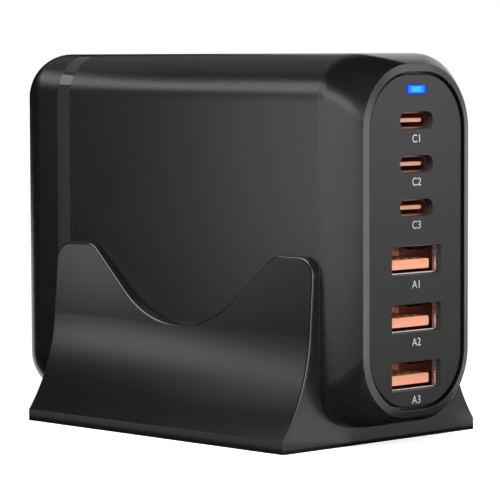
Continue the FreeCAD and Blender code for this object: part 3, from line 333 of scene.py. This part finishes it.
# %% [markdown]
# ## Spring fingers
# Two fingers are cut from the shell's upper wall and bent down, to press on a plug, so they are of the
# shell's steel. A strip is the natural start: its rear edge is extruded step by step along the bent line,
# the strip is doubled for the other side, and Solidify gives it the thickness of the sheet. Each step is
# how far back and how far up or down the line goes, in millimetres.

# %% Spring fingers
FINGER_WIDTH, FINGER_OFFSET, FINGER_ROOT = 2.5 * MM, 4.6 * MM, 0.5 * MM
FINGER_SETBACK, SHEET, SHELL_WALL = 0.35 * MM, 0.15 * MM, 0.3 * MM
FINGER_EDGE = SHEET / 5
FINGER_STEPS = ((-0.9, -0.45), (-0.8, -0.4), (-0.8, -0.15), (-1.0, 0.25), (-1.0, 0.35))
root_x = shell_high.x - FINGER_SETBACK - FINGER_ROOT / 2
root_z = shell_high.z - SHELL_WALL - SHEET / 2
springs = plate("usb_a_springs_1", (root_x, -FINGER_OFFSET, root_z), (FINGER_ROOT, FINGER_WIDTH))
choose(springs, "edges", lambda at: at.x < root_x - FINGER_ROOT / 4)
for along, rise in FINGER_STEPS:
    bpy.ops.mesh.extrude_region_move(TRANSFORM_OT_translate={"value": (along * MM, 0, rise * MM)})
bpy.ops.mesh.select_all(action="SELECT")
bpy.ops.mesh.duplicate_move(TRANSFORM_OT_translate={"value": (0, 2 * FINGER_OFFSET, 0)})
bpy.ops.mesh.select_all(action="SELECT")
bpy.ops.mesh.normals_make_consistent(inside=False)
bpy.ops.object.mode_set(mode="OBJECT")
sheet = springs.modifiers.new("sheet_thickness", "SOLIDIFY")
sheet.thickness, sheet.offset = SHEET, 0
bpy.ops.object.modifier_apply(modifier=sheet.name)
bpy.ops.object.mode_set(mode="EDIT")
round_edges(springs, FINGER_EDGE)
# The fingers share the shells' steel, with its painted shade and painted orange reflection.
repeat(springs, "usb_a_springs", painted_glow_steel)

# %% [markdown]
# ## Status light
# The window of the status light is clear plastic over a blue diode: brightest in front of the diode and
# deep blue at its rim. A lamp inside would need the window to be clear; an emission whose colour falls
# off from the middle looks the same and is quick to render.

# %% Status light
WINDOW_HALF_WIDTH, WINDOW_HALF_HEIGHT = 2.9 * MM, 0.92 * MM
GLOW = ((0.3, "#35ccff"), (0.78, "#0a58ff"), (1.0, "#0208b8"))
window_low, window_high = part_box("light_pipe")
light_material, light_tree, light_output = new_material("lit_blue_polycarbonate")
light_place = add(light_tree, "ShaderNodeTexCoord").outputs["Object"]
offset = add(light_tree, "ShaderNodeVectorMath", {0: light_place, 1: (window_low + window_high) / 2},
             operation="SUBTRACT")
scaled = add(light_tree, "ShaderNodeVectorMath",
             {0: offset.outputs["Vector"], 1: (0, 1 / WINDOW_HALF_WIDTH, 1 / WINDOW_HALF_HEIGHT)},
             operation="MULTIPLY")
whole = add(light_tree, "ShaderNodeVectorMath", {0: scaled.outputs["Vector"]}, operation="ABSOLUTE")
split = add(light_tree, "ShaderNodeSeparateXYZ", {"Vector": whole.outputs["Vector"]})
away = add(light_tree, "ShaderNodeMath", {0: split.outputs["Y"], 1: split.outputs["Z"]}, operation="MAXIMUM")
glow = add(light_tree, "ShaderNodeValToRGB", {"Fac": away.outputs["Value"]})
glow.color_ramp.elements.new(GLOW[1][0])
for stop, (position, colour) in zip(glow.color_ramp.elements, GLOW):
    stop.position, stop.color = position, linear(colour)
light_shader = add(light_tree, "ShaderNodeBsdfPrincipled",
                   {"Base Color": linear("#020410"), "Roughness": 0.35, "Emission Strength": 1.0,
                    "Specular IOR Level": 0.2, "Emission Color": glow.outputs["Color"]})
light_tree.links.new(light_shader.outputs["BSDF"], light_output.inputs["Surface"])
dress(light_material, "light_pipe")

# %% [markdown]
# ## Inner pieces
# Nothing of the electronics shows from outside, but the part can be opened, so each piece has its own
# material. Solder mask is a green lacquer with a gentle gloss, sintered ferrite a matt dark grey. The
# tape round the winding is smooth yellow polyester, and drawn aluminium has faint streaks. Epoxy packages
# are a dull black, the silicone pad is duller still, and the film capacitor and the diode are smooth and
# pale. Here, too, the grain is drawn coarser than it is.

# %% Boards, windings and cans
solder_mask = moulded("solder_mask_board", "#12442a", "#164c30",
                      grain=0.8, roughness=0.4, spread=0.08, depth=0.006)
dress(solder_mask, "port_board", "main_board")
ferrite = moulded("sintered_ferrite", "#26262a", "#303034",
                  grain=0.3, roughness=0.6, spread=0.1, depth=0.01)
dress(ferrite, "transformer_core", "choke", *numbered("output_inductor"))
tape = moulded("polyester_winding_tape", "#d0a81c", "#dcb62c",
               grain=1.0, roughness=0.35, spread=0.05, depth=0.01)
dress(tape, "transformer_winding")
aluminium = metal("drawn_aluminium_can", "#d0d0d3", roughness=0.3, spread=0.08, line=0.3)
dress(aluminium, "bulk_capacitor_1", "bulk_capacitor_2", "heat_spreader", "output_capacitor_4",
      *numbered("output_capacitor"))

# %% Packages and pad
film = moulded("moulded_film_capacitor", "#d6c060", "#dfca70",
               grain=0.5, roughness=0.3, spread=0.05, depth=0.005)
dress(film, "x_capacitor")
epoxy = moulded("moulded_epoxy_package", "#1a1a1c", "#202022",
                grain=0.3, roughness=0.5, spread=0.08, depth=0.01)
dress(epoxy, "bridge_rectifier", "fuse", "power_switch_1", "power_switch_2")
silicone = moulded("silicone_pad", "#8c98a6", "#98a4b2",
                   grain=0.6, roughness=0.7, spread=0.08, depth=0.01)
dress(silicone, "thermal_pad")
diode = moulded("diode_package", "#d8e4f0", "#e2ecf6",
                grain=0.4, roughness=0.4, spread=0.05, depth=0.004)
dress(diode, "status_led")

# %% [markdown]
# ## Port marks
# A small printed mark stands below each socket: C for the small ones and A for the large ones, numbered
# from the top. Text could be a texture; as a thin mesh it stays sharp at any distance. The ink is
# screen-printed, a pale grey with a slightly dry surface. Each mark has the height of its middle above
# the floor, in millimetres.

# %% Port marks
PRINT_THICK = 0.02 * MM
CAP_HEIGHT = 1.5 * MM
CAP_SHARE = 0.7
MARK_HEIGHTS = {"C1": 58.0, "C2": 49.9, "C3": 41.8, "A1": 30.6, "A2": 19.7, "A3": 8.8}
panel_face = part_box("front_panel")[1].x
ink = moulded("screen_print_ink", "#a5a5a6", "#b0b0b1", grain=0.2, roughness=0.5, spread=0.05, depth=0.002)
for mark, height in MARK_HEIGHTS.items():
    bpy.ops.object.select_all(action="DESELECT")
    bpy.ops.object.text_add(location=(panel_face, 0, height * MM), rotation=(math.pi / 2, 0, math.pi / 2))
    text = bpy.context.object
    text.name = f"port_mark_{mark.lower()}"
    text.data.body = mark
    text.data.align_x, text.data.align_y = "CENTER", "CENTER"
    text.data.size = CAP_HEIGHT / CAP_SHARE
    text.data.extrude = PRINT_THICK
    bpy.ops.object.convert(target="MESH")
    bpy.ops.object.transform_apply(location=True, rotation=True, scale=True)
    text.data.materials.append(ink)
    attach(text, "root")
    print(text.name, len(text.data.polygons), "faces")


# %% [markdown]
# ## Floor and backdrop
# The photograph has a plain white ground. A floor lit until it clips would flood the object with light;
# here the floor and the sky are white where the camera or a reflection sees them and give little light
# otherwise, and the floor keeps the shadow under the stand.

# %% Floor and backdrop
FLOOR_SIZE, FLOOR_GLOW, SKY_LIGHT = 6, 0.85, 0.3
WHITE = (1, 1, 1, 1)


def seen_directly(tree):
    """1 where the camera, a reflection or clear plastic looks, 0 where light is gathered."""
    path = add(tree, "ShaderNodeLightPath")
    seen = path.outputs["Is Camera Ray"]
    for other in ("Is Glossy Ray", "Is Transmission Ray"):
        seen = add(tree, "ShaderNodeMath", {0: seen, 1: path.outputs[other]}, operation="MAXIMUM").outputs[0]
    return seen


bpy.ops.object.select_all(action="DESELECT")
bpy.ops.mesh.primitive_plane_add(size=FLOOR_SIZE)
floor = bpy.context.object
floor.name = "floor"
floor_material, floor_tree, floor_output = new_material("pale_paper_floor")
strength = add(floor_tree, "ShaderNodeMath", {0: seen_directly(floor_tree), 1: FLOOR_GLOW},
               operation="MULTIPLY")
floor_shader = add(floor_tree, "ShaderNodeBsdfPrincipled",
                   {"Base Color": linear("#e6e6e6"), "Roughness": 0.9, "Specular IOR Level": 0.0,
                    "Emission Color": WHITE, "Emission Strength": strength.outputs[0]})
floor_tree.links.new(floor_shader.outputs["BSDF"], floor_output.inputs["Surface"])
floor.data.materials.append(floor_material)

world = bpy.data.worlds.new("studio")
bpy.context.scene.world = world
world.use_nodes = True
sky = world.node_tree
sky.nodes.clear()
sky_level = add(sky, "ShaderNodeMapRange", {"Value": seen_directly(sky), "To Min": SKY_LIGHT, "To Max": 1.0})
sky_shader = add(sky, "ShaderNodeBackground", {"Color": WHITE, "Strength": sky_level.outputs["Result"]})
add(sky, "ShaderNodeOutputWorld", {"Surface": sky_shader.outputs["Background"]})
print("floor", FLOOR_SIZE, "m across; sky light", SKY_LIGHT)


# %% [markdown]
# ## Studio light
# A black satin surface is drawn by what it reflects. A studio sets soft boxes where each face should glow
# and black cards where it should stay dark, and some boxes serve one piece alone: Blender's light linking
# does that. A box is given by its name, its place, what it faces, its width and height in metres, how
# bright its face is, and where it needs one, its roll in degrees.

# %% Lamps and cards
def softbox(name, place, target, width, height, radiance, roll=0.0):
    """Area lamp aimed at a point, with the radiance of its face and its roll in degrees."""
    bpy.ops.object.light_add(type="AREA", location=place)
    lamp = bpy.context.object
    lamp.name = name
    lamp.data.shape = "RECTANGLE"
    lamp.data.size, lamp.data.size_y = width, height
    lamp.data.energy = radiance * math.pi * width * height
    aim = (Vector(target) - Vector(place)).to_track_quat("-Z", "Y").to_matrix()
    lamp.rotation_euler = (aim @ Matrix.Rotation(math.radians(roll), 3, "Z")).to_euler()
    lamp.visible_camera = False
    print(name, "at", place, "with radiance", radiance)
    return lamp


def only(name, lamps, pieces, state="INCLUDE"):
    """Lets lamps light some pieces alone, or all but these, as cards held close to the work would."""
    group = bpy.data.collections.new(name)
    for piece in pieces:
        group.objects.link(bpy.data.objects[piece])
    for member in group.collection_objects:
        member.light_linking.link_state = state
    for lamp in lamps:
        lamp.light_linking.receiver_collection = group
    print(name, "holds for", ", ".join(lamp.name for lamp in lamps))


felt, felt_tree, felt_output = new_material("black_felt")
felt_shader = add(felt_tree, "ShaderNodeBsdfDiffuse", {"Color": (0.0, 0.0, 0.0, 1)})
felt_tree.links.new(felt_shader.outputs["BSDF"], felt_output.inputs["Surface"])


def flag(name, place, target, width, height):
    """Black card that only reflections see."""
    bpy.ops.object.select_all(action="DESELECT")
    bpy.ops.mesh.primitive_plane_add(size=1, location=place)
    card = bpy.context.object
    card.name = name
    card.scale = (width, height, 1)
    card.rotation_euler = (Vector(target) - Vector(place)).to_track_quat("Z", "Y").to_euler()
    bpy.ops.object.transform_apply(location=True, rotation=True, scale=True)
    card.data.materials.append(felt)
    card.visible_camera = False
    card.visible_diffuse = False
    card.visible_shadow = False


# %% [markdown]
# ### Lamps for all pieces
# The key is a small lamp above and before the sockets. It gives form and a shadow, but as a reflection it
# would be a hard spot, so reflections don't see it. It passes the shroud by, whose pocket between rim and
# panel should stay dark. The other boxes add sheen: one near the camera, which lights no surface itself,
# one for the upper rim, and a dim card behind.

# %% Lamps for all pieces
KEY_PLACE, KEY_TARGET, KEY_SIZE = (0.12, -0.06, 0.17), (0.046, 0, 0.04), 0.08
key = softbox("key", KEY_PLACE, KEY_TARGET, KEY_SIZE, KEY_SIZE, 28)
key.visible_glossy = False
only("all_but_shroud", (key,), ("front_shroud",), "EXCLUDE")
camera_box = softbox("camera_box", (0.45, -0.42, 0.12), (0, 0, 0.04), 0.25, 0.2, 3)
camera_box.visible_diffuse = False
softbox("upper_rim_box", (0.376, 0.34, 0.24), (0.046, 0, 0.07), 0.16, 0.1, 2.3)
softbox("grey_card", (-0.40, 0.12, 0.42), (0, 0, 0.07), 0.5, 0.3, 0.24)

# %% [markdown]
# ### Lamps for the housing and its shroud
# Two boxes behind the rear end draw the highlight along the rounded upper edge, and two large ones before
# the tall side shade it softly. The shroud has boxes of its own for its two rims, a card just above the
# floor for their lower ends, and a weak key in the place of the other.

# %% Lamps for the housing
HOUSING = ("sleeve", "front_shroud", "trim_band", "rear_cap")
HOUSING_BOXES = (
    ("near_box", (-0.11, -0.06, 0.116), (0, -0.04, 0.096), 0.07, 0.022, 2.3),
    ("far_strip", (-0.11, -0.157, 0.153), (0, -0.097, 0.099), 0.10, 0.062, 2.75),
    ("front_box", (-0.0476, -0.2417, 0.0505), (-0.0276, -0.0017, 0.0535), 0.315, 0.109, 1.85, 5),
    ("over_box", (0.01, -0.26, 0.145), (0.01, 0, 0.06), 0.30, 0.07, 3.4),
)
only("housing_only", [softbox(*box) for box in HOUSING_BOXES], HOUSING)

# %% Lamps for the shroud
SHROUD_BOXES = (
    ("rim_box", (0.16, 0.03, 0.04), (0.046, -0.014, 0.037), 0.05, 0.08, 2.9),
    ("far_rim_box", (0.117, 0.2, 0.024), (0.046, 0.014, 0.037), 0.06, 0.09, 1.6),
    ("rim_card", (0.159, 0.065, 0.0005), (0.159, 0.065, 1), 0.202, 0.19, 1.6),
    ("shroud_key", KEY_PLACE, KEY_TARGET, KEY_SIZE, KEY_SIZE, 8),
)
only("shroud_only", [softbox(*box) for box in SHROUD_BOXES], ("front_shroud",))
bpy.data.objects["shroud_key"].visible_glossy = False

# %% [markdown]
# ### Lamps for the stand
# Low boxes draw the highlight along the flare, and fainter or higher ones light the plate above it and
# the crest. Tall boxes near the camera leave a fine line on the front edge. Cards that lie just above the
# floor, each at its own height, lift the foot and the end face as white paper would. Boxes that should
# show only as reflections light no surface themselves.

# %% Lamps for the stand
STAND_BOXES = (
    ("low_box", (-0.158, -0.173, 0.0655), (0, -0.02, 0.0185), 0.1, 0.036, 2.5, 39),
    ("right_low_box", (-0.135, -0.165, 0.107), (0.03, -0.02, 0.011), 0.05, 0.03, 1.1),
    ("plate_box", (-0.125, -0.135, 0.037), (0, -0.02, 0.03), 0.12, 0.025, 0.4),
    ("crest_box", (-0.085, -0.09, 0.3), (-0.085, -0.09, 0), 0.31, 0.26, 7),
    ("edge_box", (0.34, -0.04, 0.065), (0.037, -0.02, 0.02), 0.08, 0.06, 2.5),
    ("line_box", (0.42, -0.40, 0.15), (0.037, -0.02, 0.02), 0.12, 0.3, 12),
    ("upper_line_box", (0.37, -0.25, 0.32), (0.037, -0.02, 0.01), 0.12, 0.24, 6),
    ("foot_card", (-0.01, -0.045, 0.0004), (-0.01, -0.045, 1), 0.14, 0.03, 0.7),
    ("floor_card", (0.149, 0.065, 0.0005), (0.149, 0.065, 1), 0.222, 0.19, 0.75),
    ("corner_card", (0.105, 0.043, 0.0006), (0.105, 0.043, 1), 0.17, 0.02, 0.9, -44),
)
only("stand_only", [softbox(*box) for box in STAND_BOXES], ("stand",))
for name in ("crest_box", "line_box", "upper_line_box"):
    bpy.data.objects[name].visible_diffuse = False

# %% [markdown]
# ### Lamp for the sockets
# The sockets are deep and narrow, so the key hardly reaches into them. One box before the front lights
# their tongues, the large ones' lips and the small ones' shells, and nothing round them.

# %% Lamp for the sockets
LIT_IN_SOCKETS = numbered("usb_a_insulator", "usb_a_lip", "usb_c_insulator", "usb_c_shell")
port_box = softbox("port_box", (0.40, -0.12, 0.09), (0.046, 0, 0.04), 0.1, 0.1, 15)
only("sockets_only", (port_box,), LIT_IN_SOCKETS)

# %% [markdown]
# ### Black cards
# The ground and the sky are white, and satin black would show them everywhere. Felt walls, a ceiling and
# sheets on the floor take their place in the reflections; the small sheet under the shroud is a painted
# shadow, the shade that the glowing floor lacks there. A card is given as a box is, without brightness.

# %% Black cards
CARDS = (
    ("ceiling", (0, 0, 0.6), (0, 0, 0), 1.6, 1.6),
    ("left_wall", (-0.7, -0.1, 0.2), (0, -0.1, 0.2), 1.5, 1.4),
    ("front_wall", (-0.25, -0.7, 0.2), (-0.25, 0, 0.2), 1.4, 1.4),
    ("floor_sheet", (-0.2, -0.366, 0.0001), (-0.2, -0.366, 1), 1.0, 0.7),
    ("right_sheet", (0.22, 0.17, 0.0001), (0.22, 0.17, 1), 0.34, 0.34),
    # A painted shadow: the floor glows in reflections even under the shroud, and this black sheet stands in
    # for its shade.
    ("under_sheet", (0.05, 0, 0.0001), (0.05, 0, 1), 0.042, 0.07),
)
for card in CARDS:
    flag(*card)
print("black cards:", len(CARDS))
